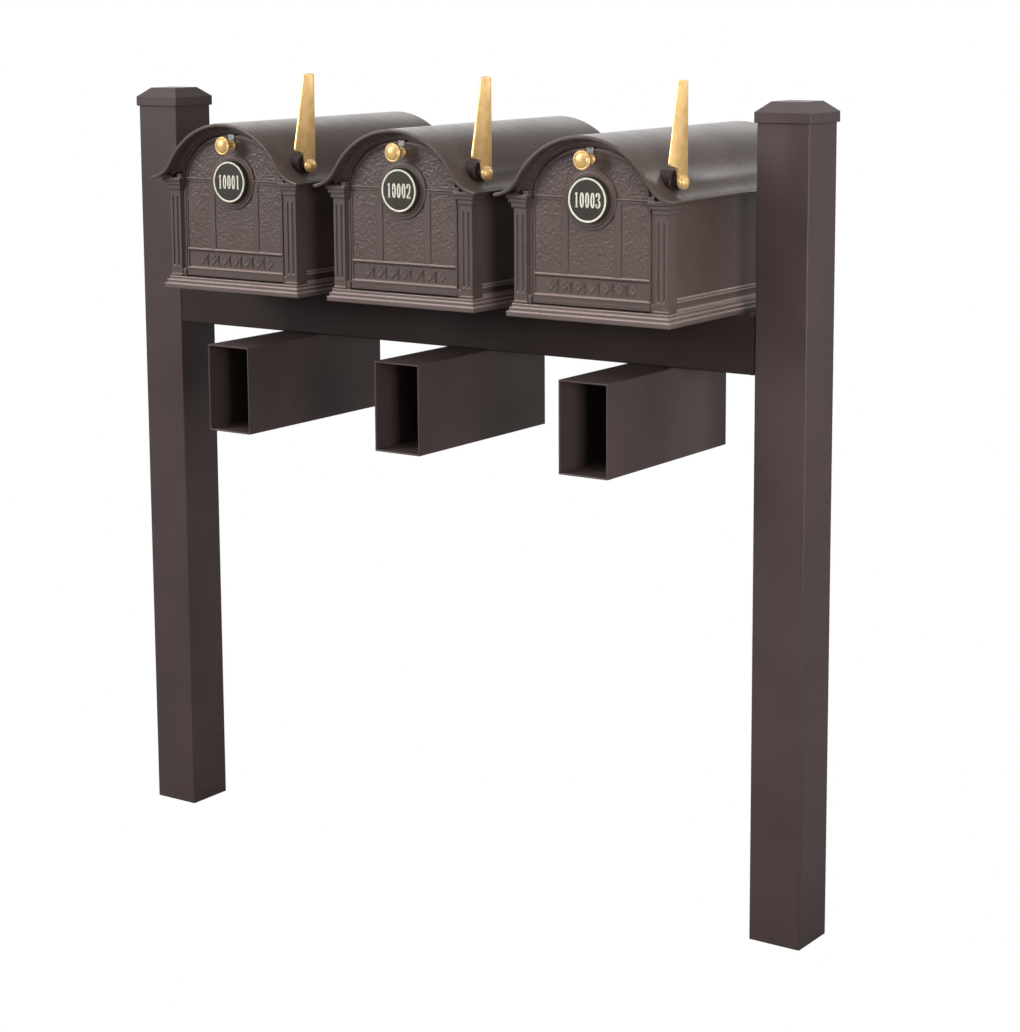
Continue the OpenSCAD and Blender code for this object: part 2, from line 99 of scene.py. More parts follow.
# door, as in the CAD
FIELD_Y = 18.0
FIELD_HW = 116.0
SPRING_Z = 209.0
ARCH_RISE = 88.0
MULLION_IN = 47.0
MULLION_OUT = 60.5
PANEL_LOW = 79.0
PANEL_HIGH = 205.0
BAND_LOW = 42.0
BAND_HIGH = 73.0
FOOT_RAIL_Y = 15.2

# the pebbled skin of the sunk arch field, which reaches a little under the frame round it
TYMPANUM_HW = FIELD_HW - 1.2
TYMPANUM_FOOT = SPRING_Z + 4.5
TYMPANUM_RISE = 0.9 * ARCH_RISE - 3.8
FOOT_SLACK = 0.02  # share of the rise below its foot that still counts as inside

# walls, as in the CAD
WALL_X = 150.0
WALL_FRONT = 44.0
WALL_BACK = 509.0
WALL_LOW = 46.5
WALL_HIGH = 217.0

# pebbled skins: the size of a pebble, the lowest height and the rise of the tallest pebble
FIELD_PEBBLE, FIELD_BASE, FIELD_RISE = 3.6, 0.15, 1.15
SIDE_PEBBLE, SIDE_BASE, SIDE_RISE = 4.6, 0.1, 0.95
FIELD_CELL = 1.5
SIDE_CELL = 2.6
FIELD_SEED = 1.0
SIDE_SEED = 3.0
WAVE_SEED = 7  # added to a skin's seed for its slower waves
SINK = 0.8  # how far a skin goes into the wall behind it and under the frame round it
LUMP_FALL = 1.5
LUMP_SHARE = 0.6
WAVE_SHARE = 0.4
WAVE_SIZE = 0.8  # of a pebble

# number plate: its face, the land of the cream ring, and the numerals
PLATE_FACE_Y = 4.8
RING_LAND_Y = 3.8
RING_OUT = 38.5
RING_IN = 34.8
RING_CROWN = 1.0
RING_CROWN_Y = RING_LAND_Y + 0.2
RING_SINK = 0.8  # how far its outer edge goes below the land
RING_SIDES = 128
RING_ARC_STEPS = 8
NUMERAL_HIGH = 26.0
NUMERAL_PITCH = 10.8
NUMERAL_FRONT = PLATE_FACE_Y - 0.9
CREAM_BACK = PLATE_FACE_Y + 0.4  # numerals and the ring's inner edge end below the face
PEN_CONTRAST = 1.5

# frieze on the door's lower band, with a row of beads below it
FRIEZE_COUNT = 7
FRIEZE_PITCH = 28.0
FRIEZE_Z = (BAND_LOW + BAND_HIGH) / 2 + 0.5
LOZENGE_HW = 9.2
FRIEZE_HH = 11.5
BAR_HW = 1.8
RELIEF = ((1, 0.5), (1, -0.1), (0.86, -1.5), (0.62, -1.5), (0.45, -0.5))  # share of outline, depth
BEAD_COUNT = 45
BEAD_PITCH = 4.4
BEAD_Z = 31.5
BEAD_R = 1.3
BEAD_SINK = 0.3
BEAD_SIDES = 12
BEAD_RINGS = 4
BEAD_RING_DEG = 25

# flag, turning about PIVOT_Y, PIVOT_Z; its outline and its hub's profile start from there
BLADE_X = 158.0
BLADE_T = 5.0
BLADE_EDGE_R = 1.3
PIVOT_Y = 48.0
PIVOT_Z = 243.0
FLAG_LEN = 170.0
FLAG_FOOT = 42.0
BLADE_OUTLINE = (
    (-11, 0), (16, 0), (16, FLAG_LEN - 3), (13, FLAG_LEN), (-9, FLAG_LEN), (-12, FLAG_LEN - 3),
    (-FLAG_FOOT, 34), (-FLAG_FOOT, 31), (-FLAG_FOOT + 3, 28.5), (-20, 26), (-14, 20),
)
HUB_PROFILE = (  # radius, distance out from the blade's inner face
    (4.2, 0.2), (12, 0.2), (12.8, 1.0), (13.0, 2.0), (13.0, 5.4), (12.6, 6.6), (11.8, 7.3),
    (10.6, 7.55), (9.4, 7.2), (8.8, 6.6), (4.2, 6.6),
)
HUB_SIDES = 64

# folded hem round the mouth of a newspaper box
NEWS_T = 2.0
HEM_LAP = 0.8  # how much thicker the fold makes the sheet
HEM_DEEP = 9.0
HEM_R = 0.7

# powder coat: noise scales are in features per metre, lengths in metres
TONE_SCALE = 9.0
TONE_RANGE = (0.93, 1.07)  # darkest and lightest patches, as shares of the colour
FLECK_GAIN = 2.2
# painted highlight on edges that face up and painted shade on edges that face down: shares and
# gain
TOP_HIGHLIGHT_SHARE = 0.9
UNDER_SHADE_GAIN = 0.35
UNDER_SHADE_SHARE = 0.55
GLOSS_SCALE = 25.0
PEEL_SCALE = 330.0
PEEL_HEIGHT = 0.0004
BEVEL_SAMPLES = 4

# floor, light and camera, in metres, watts and degrees
FLOOR_HALF = 40
FLOOR_GREY = (0.25, 0.25, 0.25, 1)
FLOOR_DROP = 0.0005  # below the post feet
WHITE = (1, 1, 1, 1)
WORLD_FILL = 0.16
SUN_STRENGTH = 2.3
SUN_SOFTNESS = 80
SUN_TURN = (14, -10)
SOFTBOXES = (  # name, place, aim, width and height, power, spread
    ("front_left", (-3.4, -4.2, 3.0), (0, 0, 1.0), (2.2, 2.4), 200, 180),
    ("backdrop", (-3.4, 4.6, 2.4), (-0.4, 0, 1.1), (9.0, 4.2), 150, 180),
    ("right_front", (2.7, -1.7, 1.3), (0.66, 0, 0.95), (0.9, 1.6), 6, 48),
    ("right_side", (2.5, 1.1, 1.8), (0.8, 0, 0.9), (1.6, 2.4), 18, 180),
    ("roof_kicker", (1.45, 1.8, 2.3), (0.6, 0, 1.4), (0.35, 0.9), 9, 180),
)
CAMERA_AT = (2.6997, -3.7075, 1.6793)
CAMERA_YAW = 0.6079  # radians, as are the two below
CAMERA_DOWN = 0.1541
CAMERA_ROLL = -0.0057
SENSOR_MM = 36
LENS_MM = 84.7534884
LENS_SHIFT = -0.137596899  # share of the frame's height
CLIP_END = 100


# ---------------------------------------------------------------- mesh helpers


def origin(k):
    """Base centre, base front, base bottom of mailbox k, in metres."""
    low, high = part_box(f"mailbox_{k}_body")
    return Vector(((low.x + high.x) / 2, low.y, low.z))


def finish_mesh(bm, name, smooth_deg=35):
    """Turns a bmesh in millimetres into a mesh in metres, smooth except across sharp edges."""
    bmesh.ops.remove_doubles(bm, verts=bm.verts, dist=MERGE_MM)
    bmesh.ops.recalc_face_normals(bm, faces=bm.faces)
    bmesh.ops.scale(bm, vec=(MM, MM, MM), verts=bm.verts)
    mesh = bpy.data.meshes.new(name)
    bm.to_mesh(mesh)
    bm.free()
    mesh.shade_smooth()
    mesh.set_sharp_from_angle(angle=math.radians(smooth_deg))
    return mesh


def place(mesh, name, material, body, at=(0, 0, 0)):
    """Makes an object from a mesh, gives it its finish and lets it ride on a CAD body."""
    obj = bpy.data.objects.new(name, mesh)
    bpy.context.scene.collection.objects.link(obj)
    if not mesh.materials:
        mesh.materials.append(material)
    obj.location = at
    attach(obj, body)
    return obj


def add_prism(bm, near, far):
    """Adds a closed prism between two outlines of equal length."""
    a = [bm.verts.new(p) for p in near]
    b = [bm.verts.new(p) for p in far]
    bm.faces.new(a)
    bm.faces.new(list(reversed(b)))
    for i in range(len(a)):
        j = (i + 1) % len(a)
        bm.faces.new((a[j], a[i], b[i], b[j]))


def join(bm, a, b):
    """Joins two closed rows of vertices with quads."""
    for i in range(len(a)):
        j = (i + 1) % len(a)
        bm.faces.new((a[i], a[j], b[j], b[i]))


def loft(bm, rings, close_ends=True):
    """Joins closed rings of points in a line, and may close both ends."""
    rows = [[bm.verts.new(p) for p in ring] for ring in rings]
    for a, b in zip(rows, rows[1:]):
        join(bm, a, b)
    if close_ends:
        bm.faces.new(rows[0])
        bm.faces.new(list(reversed(rows[-1])))


def hoop(bm, rings):
    """Joins closed rings of points one after another, and the last to the first."""
    rows = [[bm.verts.new(p) for p in ring] for ring in rings]
    for a, b in zip(rows, rows[1:] + rows[:1]):
        join(bm, a, b)


def turns(steps):
    """Equal steps round a full turn, in radians."""
    return [2 * math.pi * i / steps for i in range(steps)]


def arc(cx, cz, rx, rz, start, end, steps):
    """Points of an elliptical arc; angles in degrees from +X towards +Z."""
    angles = [math.radians(start + (end - start) * i / steps) for i in range(steps + 1)]
    return [(cx + rx * math.cos(t), cz + rz * math.sin(t)) for t in angles]


# ---------------------------------------------------------------- materials


def node(tree, kind, **inputs):
    """Adds a shader node; keyword inputs are set by socket name, with _ for a space."""
    made = tree.nodes.new(kind)
    for key, value in inputs.items():
        made.inputs[key.replace("_", " ")].default_value = value
    return made


def object_coordinates(tree):
    return tree.nodes.new("ShaderNodeTexCoord").outputs["Object"]


def noise_at(tree, scale, detail=2.0, roughness=0.5):
    """Noise over the object's own coordinates; scale is in features per metre."""
    made = node(tree, "ShaderNodeTexNoise", Scale=scale, Detail=detail, Roughness=roughness)
    tree.links.new(object_coordinates(tree), made.inputs["Vector"])
    return made.outputs["Fac"]


def ramp(tree, source, first, last):
    """Colour ramp between two stops of (position, colour)."""
    made = tree.nodes.new("ShaderNodeValToRGB")
    tree.links.new(source, made.inputs["Fac"])
    for element, (position, colour) in zip(made.color_ramp.elements, (first, last)):
        element.position, element.color = position, (*colour, 1)
    return made.outputs["Color"]


def span(tree, source, reads, gives):
    """Maps the range reads onto the range gives, and holds it beyond its ends."""
    made = node(
        tree, "ShaderNodeMapRange", From_Min=reads[0], From_Max=reads[1],
        To_Min=gives[0], To_Max=gives[1],
    )
    tree.links.new(source, made.inputs["Value"])
    return made.outputs["Result"]


def bump(tree, source, strength, distance, after=None):
    """Bumped normal, on top of another normal if one is given; distance is in metres."""
    made = node(tree, "ShaderNodeBump", Strength=strength, Distance=distance)
    tree.links.new(source, made.inputs["Height"])
    if after is not None:
        tree.links.new(after, made.inputs["Normal"])
    return made.outputs["Normal"]


def vector_math(tree, operation, a, b):
    made = tree.nodes.new("ShaderNodeVectorMath")
    made.operation = operation
    tree.links.new(a, made.inputs[0])
    tree.links.new(b, made.inputs[1])
    return made.outputs


def edge_mask(tree, radius):
    """A mask of one at edges and zero on flat faces, and the softened normal it comes from."""
    soft = node(tree, "ShaderNodeBevel", Radius=radius)
    soft.samples = BEVEL_SAMPLES
    plain = tree.nodes.new("ShaderNodeNewGeometry")
    likeness = vector_math(tree, "DOT_PRODUCT", soft.outputs["Normal"], plain.outputs["Normal"])
    return span(tree, likeness["Value"], (0.97, 0.75), (0.0, 1.0)), soft.outputs["Normal"]


def tilt(tree, soft):
    """How far the softened normal leans up (positive) or down (negative) from the face's own."""
    plain = tree.nodes.new("ShaderNodeNewGeometry")
    lean = vector_math(tree, "SUBTRACT", soft, plain.outputs["Normal"])
    parts = tree.nodes.new("ShaderNodeSeparateXYZ")
    tree.links.new(lean["Vector"], parts.inputs["Vector"])
    return parts.outputs["Z"]


def mix_colour(tree, factor, under, over):
    """Blends a colour socket with a plain colour by a factor socket."""
    made = tree.nodes.new("ShaderNodeMix")
    made.data_type = "RGBA"
    tree.links.new(factor, made.inputs["Factor"])
    tree.links.new(under, made.inputs["A"])
    made.inputs["B"].default_value = (*over, 1)
    return made.outputs["Result"]


def times(colour, gain):
    return tuple(c * gain for c in colour)


def shader(name):
    """A new material, its node tree and its principled shader."""
    made = bpy.data.materials.new(name)
    made.use_nodes = True
    return made, made.node_tree, made.node_tree.nodes["Principled BSDF"]


def powder_coat(name, colour, rough, peel, edge=1.3, specular=0.4, radius=0.0009, flecks=0.1,
                grain=700.0):
    """Powder coat with orange peel, uneven gloss and tone, and light flecks.

    Edges that face up are lighter, edge times the colour, a painted highlight as if lit from
    above, and those that face down are darker, a painted shade. radius is the width of an edge;
    0 leaves edges alone. peel is the strength of the orange peel; 0 leaves it out. flecks is
    their strength and grain their number per metre.
    """
    made, tree, out = shader(name)
    tone = noise_at(tree, TONE_SCALE, detail=3.0)
    dark, light = (times(colour, gain) for gain in TONE_RANGE)
    base = ramp(tree, tone, (0.35, dark), (0.65, light))
    fleck = span(tree, noise_at(tree, grain, detail=1.0), (0.55, 0.72), (0.0, flecks))
    base = mix_colour(tree, fleck, base, times(colour, FLECK_GAIN))
    soft = None
    if radius:
        soft = node(tree, "ShaderNodeBevel", Radius=radius).outputs["Normal"]
        # painted light: edges leaning up get a painted highlight, edges leaning down a painted
        # shade
        lean = tilt(tree, soft)
        painted_top_highlight = span(tree, lean, (0.06, 0.4), (0.0, TOP_HIGHLIGHT_SHARE))
        base = mix_colour(tree, painted_top_highlight, base, times(colour, edge))
        painted_under_shade = span(tree, lean, (-0.06, -0.5), (0.0, UNDER_SHADE_SHARE))
        base = mix_colour(tree, painted_under_shade, base, times(colour, UNDER_SHADE_GAIN))
    tree.links.new(base, out.inputs["Base Color"])
    uneven = span(tree, noise_at(tree, GLOSS_SCALE), (0.3, 0.7), (rough - 0.03, rough + 0.04))
    tree.links.new(uneven, out.inputs["Roughness"])
    if peel:
        ripple = noise_at(tree, PEEL_SCALE, detail=1.0)
        tree.links.new(bump(tree, ripple, peel, PEEL_HEIGHT, soft), out.inputs["Normal"])
    out.inputs["Specular IOR Level"].default_value = specular
    return made


def gold(name):
    """Satin gold lacquer over a casting, with faint brushing and soft painted highlights on its
    edges.
    """
    made, tree, out = shader(name)
    tone = noise_at(tree, scale=60.0, detail=3.0)
    base = ramp(tree, tone, (0.3, (0.78, 0.48, 0.18)), (0.7, (0.92, 0.62, 0.27)))
    # painted highlight: the edges are a paler, brighter gold
    mask, soft = edge_mask(tree, radius=0.0012)
    base = mix_colour(tree, mask, base, (0.93, 0.75, 0.44))
    tree.links.new(base, out.inputs["Base Color"])
    out.inputs["Metallic"].default_value = 0.5
    uneven = span(tree, noise_at(tree, scale=220.0), (0.3, 0.7), (0.30, 0.42))
    tree.links.new(uneven, out.inputs["Roughness"])
    brushing = bump(tree, noise_at(tree, scale=900.0), strength=0.12, distance=0.0002, after=soft)
    tree.links.new(brushing, out.inputs["Normal"])
    return made


def cream_enamel(name):
    """Cream enamel with a fine mottle."""
    made, tree, out = shader(name)
    tone = noise_at(tree, scale=300.0)
    base = ramp(tree, tone, (0.3, (0.70, 0.66, 0.52)), (0.7, (0.83, 0.80, 0.68)))
    tree.links.new(base, out.inputs["Base Color"])
    out.inputs["Roughness"].default_value = 0.45
    fine = bump(tree, noise_at(tree, scale=1200.0, detail=1.0), strength=0.15, distance=0.0001)
    tree.links.new(fine, out.inputs["Normal"])
    return made


def steel(name):
    """Zinc-plated steel with a cloudy tone and gloss."""
    made, tree, out = shader(name)
    tone = noise_at(tree, scale=400.0, detail=4.0)
    base = ramp(tree, tone, (0.3, (0.20, 0.20, 0.195)), (0.7, (0.34, 0.34, 0.33)))
    tree.links.new(base, out.inputs["Base Color"])
    out.inputs["Metallic"].default_value = 1.0
    uneven = span(tree, noise_at(tree, scale=700.0, detail=3.0), (0.3, 0.7), (0.22, 0.45))
    tree.links.new(uneven, out.inputs["Roughness"])
    fine = bump(tree, noise_at(tree, scale=1800.0), strength=0.15, distance=0.0001)
    tree.links.new(fine, out.inputs["Normal"])
    return made


def magnet(name):
    """Dull black ferrite with a grainy surface."""
    made, tree, out = shader(name)
    tone = noise_at(tree, scale=500.0)
    base = ramp(tree, tone, (0.3, (0.012, 0.012, 0.012)), (0.7, (0.03, 0.03, 0.03)))
    tree.links.new(base, out.inputs["Base Color"])
    out.inputs["Roughness"].default_value = 0.75
    fine = bump(tree, noise_at(tree, scale=1500.0), strength=0.3, distance=0.0001)
    tree.links.new(fine, out.inputs["Normal"])
    return made


FINISHES = {
    "post_powder_coat": powder_coat(
        "post_powder_coat", (0.056, 0.035, 0.034), rough=0.40, peel=0.05, edge=1.4
    ),
    # the post coat at about half its brightness: painted shade on the beam under the mailboxes;
    # the channels and flag mounts use it too
    "beam_powder_coat": powder_coat(
        "beam_powder_coat", (0.026, 0.015, 0.0135), rough=0.45, peel=0.05, edge=1.4, specular=0.22
    ),
    "casting": powder_coat(
        "casting", (0.086, 0.059, 0.053), rough=0.42, peel=0.2, edge=4.6, radius=0.0022
    ),
    "sheet_powder_coat": powder_coat(
        "sheet_powder_coat", (0.064, 0.043, 0.041), rough=0.48, peel=0.08, edge=2.5
    ),
    "plate_black": powder_coat(
        "plate_black", (0.030, 0.025, 0.018), rough=0.34, peel=0.04, edge=1.8
    ),
    "gold_finish": gold("gold_finish"),
    "fastener_steel": steel("fastener_steel"),
    "magnet_black": magnet("magnet_black"),
}
ROOF_FINISH = powder_coat(
    "roof_coat", (0.080, 0.059, 0.050), rough=0.29, peel=0, radius=0, flecks=0.0
)
# a lighter copy of the casting coat for the mailbox bodies: painted light, the base moulding
# brighter than the door, with strong painted highlights on edges facing up
BASE_FINISH = powder_coat(
    "base_coat", (0.115, 0.085, 0.078), rough=0.38, peel=0.15, edge=6.0, radius=0.0026
)
PEBBLE_FINISH = powder_coat(
    "pebbled_coat", (0.088, 0.060, 0.054), rough=0.34, peel=0.15, edge=1.6, flecks=0.5, grain=430.0
)
CREAM = cream_enamel("cream_enamel")

SLOT_WORDS = (  # the first word found in a CAD node's name tells its material slot
    ("bolts", "fastener_steel"),
    ("screws", "fastener_steel"),
    ("pins", "fastener_steel"),
    ("strike", "fastener_steel"),
    ("catch", "magnet_black"),
    ("knob", "gold_finish"),
    ("flag_mount", "beam_powder_coat"),
    ("flag", "gold_finish"),
    ("number_plate", "plate_black"),
    ("newspaper_box", "sheet_powder_coat"),
    ("channel", "beam_powder_coat"),
    ("beam", "beam_powder_coat"),
    ("post", "post_powder_coat"),
    ("mailbox", "casting"),
)


def finish_cad_nodes():
    for name, obj in NODES.items():
        slot = next(slot for word, slot in SLOT_WORDS if word in name)
        obj.data.materials.clear()
        obj.data.materials.append(BASE_FINISH if name.endswith("_body") else FINISHES[slot])
        for polygon in obj.data.polygons:
            polygon.material_index = 0


# ---------------------------------------------------------------- mailbox roof


def roof_half(depth):
    """Half of the roof's line, top to eave, at a depth inside the outer skin."""
    turn = math.radians(ROOF_TURN)
    low = math.radians(FLARE_END)
    centre = ROOF_TOP - ROOF_R
    flare_x = (ROOF_R + FLARE_R) * math.sin(turn)
    flare_z = centre + (ROOF_R + FLARE_R) * math.cos(turn)
    points = []
    for i in range(BARREL_STEPS + 1):
        a = turn * i / BARREL_STEPS
        r = ROOF_R - depth
        points.append((r * math.sin(a), centre + r * math.cos(a)))
    for i in range(1, BARREL_STEPS // 2 + 1):
        a = turn + (low - turn) * 2 * i / BARREL_STEPS
        r = FLARE_R + depth
        points.append((flare_x - r * math.sin(a), flare_z - r * math.cos(a)))
    x, z = points[-1]
    points.append((x + LIP * math.cos(low), z - LIP * math.sin(low)))
    return points


def roof_ring(y, outer, inner):
    """Closed cross-section of the shell between two depths, with rounded eave lips."""
    over, under = roof_half(outer), roof_half(inner)
    half = (inner - outer) / 2
    low = math.radians(FLARE_END)
    mid_x = (over[-1][0] + under[-1][0]) / 2 - half * math.cos(low)
    mid_z = (over[-1][1] + under[-1][1]) / 2 + half * math.sin(low)
    tip = []
    for i in range(1, TIP_POINTS + 1):
        t = math.pi * i / (TIP_POINTS + 1) - math.pi / 2 + low
        tip.append((mid_x + half * math.cos(t), mid_z - half * math.sin(t)))
    right = over[:-1] + tip + under[:-1][::-1]
    left = [(-x, z) for x, z in reversed(right[1:-1])]
    return [(x, y, z) for x, z in right + left]


def close_band(bm, ring):
    """Closes the thin band between the outer and the inner line of a roof ring.

    The ring runs along the right half's outer line, its tip and back along its inner line to the
    top, then along the left half in mirror image.
    """
    line = len(roof_half(0)) - 1
    right_outer = ring[:line]
    right_tip = ring[line:line + TIP_POINTS]
    right_inner = ring[line + TIP_POINTS:2 * line + TIP_POINTS][::-1]
    left = ring[2 * line + TIP_POINTS:][::-1]
    left_outer = [ring[0]] + left[:line - 1]
    left_tip = left[line - 1:line - 1 + TIP_POINTS]
    left_inner = [right_inner[0]] + left[line - 1 + TIP_POINTS:][::-1]
    for outer, tip, inner in (
        (right_outer, right_tip, right_inner), (left_outer, left_tip, left_inner)
    ):
        for a, b, c, d in zip(outer, outer[1:], inner[1:], inner):
            bm.faces.new((a, b, c, d))
        bm.faces.new([outer[-1], *tip, inner[-1]])


def build_roof():
    """Thin cast shell with a rolled bead at the mouth of the hood and at the rear edge."""
    mouth = []
    for i in range(EDGE_STEPS + 1):
        t = math.radians(90 * i / EDGE_STEPS)
        mouth.append((-HOOD + EDGE_R * (1 - math.cos(t)), EDGE_R * (1 - math.sin(t))))
    # each ring: its place along the roof, the depth of its outer line and of its inner line
    rings = [(y, inset, ROOF_T + HOOD_BEAD - inset) for y, inset in mouth]
    rings += [(-HOOD + y, 0, ROOF_T + extra) for y, extra in HOOD_BEAD_SLOPE]
    rings += [(y, 0, ROOF_T) for y in ROOF_STATIONS]
    rings += [(ROOF_BACK - y, 0, ROOF_T + extra) for y, extra in REAR_BEAD_SLOPE]
    rings += [
        (ROOF_BACK - HOOD - y, inset, ROOF_T + REAR_BEAD - inset) for y, inset in reversed(mouth)
    ]
    bm = bmesh.new()
    loft(bm, [roof_ring(*ring) for ring in rings], close_ends=False)
    bm.verts.ensure_lookup_table()
    count = len(bm.verts) // len(rings)
    for first in (0, count * (len(rings) - 1)):
        close_band(bm, [bm.verts[first + i] for i in range(count)])
    return finish_mesh(bm, "roof_shell")


# ---------------------------------------------------------------- pebbled skins


def pebbles(u, v, size, seed):
    """Height from 0 to 1 of a hammered, pebbled surface at (u, v) millimetres."""
    near = noise.voronoi(Vector((u / size, v / size, seed)))[0][0]
    lump = max(0.0, 1.0 - near * LUMP_FALL)
    wide = size * WAVE_SIZE
    wave = 0.5 + 0.5 * noise.noise(Vector((u / wide, v / wide, seed + WAVE_SEED)))
    return LUMP_SHARE * lump + WAVE_SHARE * wave


def skin(bm, u_range, v_range, step, to_point, height, inside=lambda u, v: True):
    """Adds a closed thin slab whose front follows height(u, v), in the cells inside(u, v)."""
    nu = max(2, round((u_range[1] - u_range[0]) / step))
    nv = max(2, round((v_range[1] - v_range[0]) / step))
    us = [u_range[0] + (u_range[1] - u_range[0]) * i / nu for i in range(nu + 1)]
    vs = [v_range[0] + (v_range[1] - v_range[0]) * j / nv for j in range(nv + 1)]
    cells = {
        (i, j) for i in range(nu) for j in range(nv)
        if inside((us[i] + us[i + 1]) / 2, (vs[j] + vs[j + 1]) / 2)
    }
    top, low = {}, {}
    for i, j in cells:
        for a, b in ((i, j), (i + 1, j), (i + 1, j + 1), (i, j + 1)):
            if (a, b) not in top:
                top[a, b] = bm.verts.new(to_point(us[a], vs[b], height(us[a], vs[b])))
                low[a, b] = bm.verts.new(to_point(us[a], vs[b], -SINK))
    for i, j in cells:
        corners = ((i, j), (i + 1, j), (i + 1, j + 1), (i, j + 1))
        bm.faces.new([top[c] for c in corners])
        bm.faces.new([low[c] for c in reversed(corners)])
        beside = ((i, j - 1), (i + 1, j), (i, j + 1), (i - 1, j))
        for p, q, cell in zip(corners, corners[1:] + corners[:1], beside):
            if cell not in cells:
                bm.faces.new((top[q], top[p], low[p], low[q]))


def in_tympanum(x, z):
    """Inside the half ellipse of the door's sunk arch field."""
    across, up = x / TYMPANUM_HW, (z - TYMPANUM_FOOT) / TYMPANUM_RISE
    return up > -FOOT_SLACK and across * across + up * up < 1


def build_door_fields():
    """Pebbled fields of the door: the tympanum and the three upright panels."""

    def at(x, z, h):
        return (x, FIELD_Y - h, z)

    def height(x, z):
        return FIELD_BASE + FIELD_RISE * pebbles(x, z, FIELD_PEBBLE, FIELD_SEED)

    bm = bmesh.new()
    skin(bm, (-FIELD_HW, FIELD_HW), (TYMPANUM_FOOT - 1, SPRING_Z + ARCH_RISE), FIELD_CELL, at,
         height, in_tympanum)
    for left, right in (
        (-FIELD_HW, -MULLION_OUT), (-MULLION_IN, MULLION_IN), (MULLION_OUT, FIELD_HW)
    ):
        skin(bm, (left - SINK, right + SINK), (PANEL_LOW - SINK, PANEL_HIGH + SINK), FIELD_CELL,
             at, height)
    return finish_mesh(bm, "door_fields", smooth_deg=80)


def build_side_skins():
    """Faintly pebbled side walls."""
    bm = bmesh.new()
    for side in (-1, 1):
        def at(y, z, h, side=side):
            return (side * (WALL_X + h), y, z)

        def height(y, z, side=side):
            return SIDE_BASE + SIDE_RISE * pebbles(y, z, SIDE_PEBBLE, SIDE_SEED + side)

        skin(bm, (WALL_FRONT, WALL_BACK), (WALL_LOW, WALL_HIGH), SIDE_CELL, at, height)
    return finish_mesh(bm, "side_skins", smooth_deg=80)


# ---------------------------------------------------------------- number plate


def slab(bm, outline):
    """Adds an X-Z outline as part of a raised numeral."""
    add_prism(
        bm, [(x, NUMERAL_FRONT, z) for x, z in outline], [(x, CREAM_BACK, z) for x, z in outline]
    )


def neighbours(path, i):
    """The points of a path before and after point i, or point i itself at an end."""
    return (*path[max(i - 1, 0)], *path[min(i + 1, len(path) - 1)])


def stroke(bm, path, widths):
    """Adds a raised stroke along an X-Z path, with a width at each point."""
    left, right = [], []
    for i, ((x, z), width) in enumerate(zip(path, widths)):
        ax, az, bx, bz = neighbours(path, i)
        length = math.hypot(bx - ax, bz - az)
        nx, nz = -(bz - az) / length, (bx - ax) / length
        left.append((x + nx * width / 2, z + nz * width / 2))
        right.append((x - nx * width / 2, z - nz * width / 2))
    for i in range(len(path) - 1):
        slab(bm, [left[i], left[i + 1], right[i + 1], right[i]])


def pen(path, thin, thick):
    """Widths of a broad upright pen: thick where the path runs up and down, thin across."""
    widths = []
    for i in range(len(path)):
        ax, az, bx, bz = neighbours(path, i)
        share = abs(bz - az) / math.hypot(bx - ax, bz - az)
        widths.append(thin + (thick - thin) * share ** PEN_CONTRAST)
    return widths


def ball(bm, x, z, r):
    """The round end of a stroke."""
    slab(bm, arc(x, z, r, r, start=0, end=342, steps=19))


# Each numeral is drawn in millimetres round x, its middle, on base, its lower edge.


def zero(bm, x, base):
    path = arc(x, base + NUMERAL_HIGH / 2, 2.7, NUMERAL_HIGH / 2 - 0.6, 0, 360, 40)
    stroke(bm, path, pen(path, 1.1, 2.6))


def one(bm, x, base):
    top = base + NUMERAL_HIGH
    stroke(bm, [(x, base), (x, top)], [2.8, 2.8])
    stroke(bm, [(x - 2.9, base + 0.6), (x + 2.9, base + 0.6)], [1.2, 1.2])
    stroke(bm, [(x - 3.0, top - 3.8), (x - 1.0, top - 1.6)], [1.1, 2.2])


def two(bm, x, base):
    top = base + NUMERAL_HIGH
    bowl = arc(x, top - 6.4, 3.3, 5.8, 170, -25, 24)
    tail = [
        (x + 2.2, base + NUMERAL_HIGH * 0.42), (x - 1.0, base + NUMERAL_HIGH * 0.22),
        (x - 3.4, base + 1.4),
    ]
    path = bowl + tail
    stroke(bm, path, pen(path, 1.2, 3.0))
    stroke(bm, [(x - 4.0, base + 1.0), (x + 3.8, base + 1.0)], [2.0, 2.0])
    stroke(bm, [(x + 3.6, base), (x + 3.6, base + 4.4)], [1.2, 0.8])
    ball(bm, x - 2.9, top - 6.6, 1.7)


def three(bm, x, base):
    top = base + NUMERAL_HIGH
    upper = arc(x - 0.2, top - 6.0, 3.2, 5.4, 160, -90, 26)
    lower = arc(x - 0.2, base + 7.0, 3.6, 6.4, 90, -165, 28)
    for path in (upper, lower):
        stroke(bm, path, pen(path, 1.2, 3.1))
    ball(bm, x - 2.9, top - 5.2, 1.7)
    ball(bm, x - 3.3, base + 5.6, 1.8)


def build_digits(k):
    """Five placeholder numerals in an upright serif hand."""
    last = {1: one, 2: two, 3: three}[k]
    bm = bmesh.new()
    for i, draw in enumerate((one, zero, zero, zero, last)):
        draw(bm, (i - 2) * NUMERAL_PITCH, SPRING_Z - NUMERAL_HIGH / 2)
    return finish_mesh(bm, f"digits_{k}")


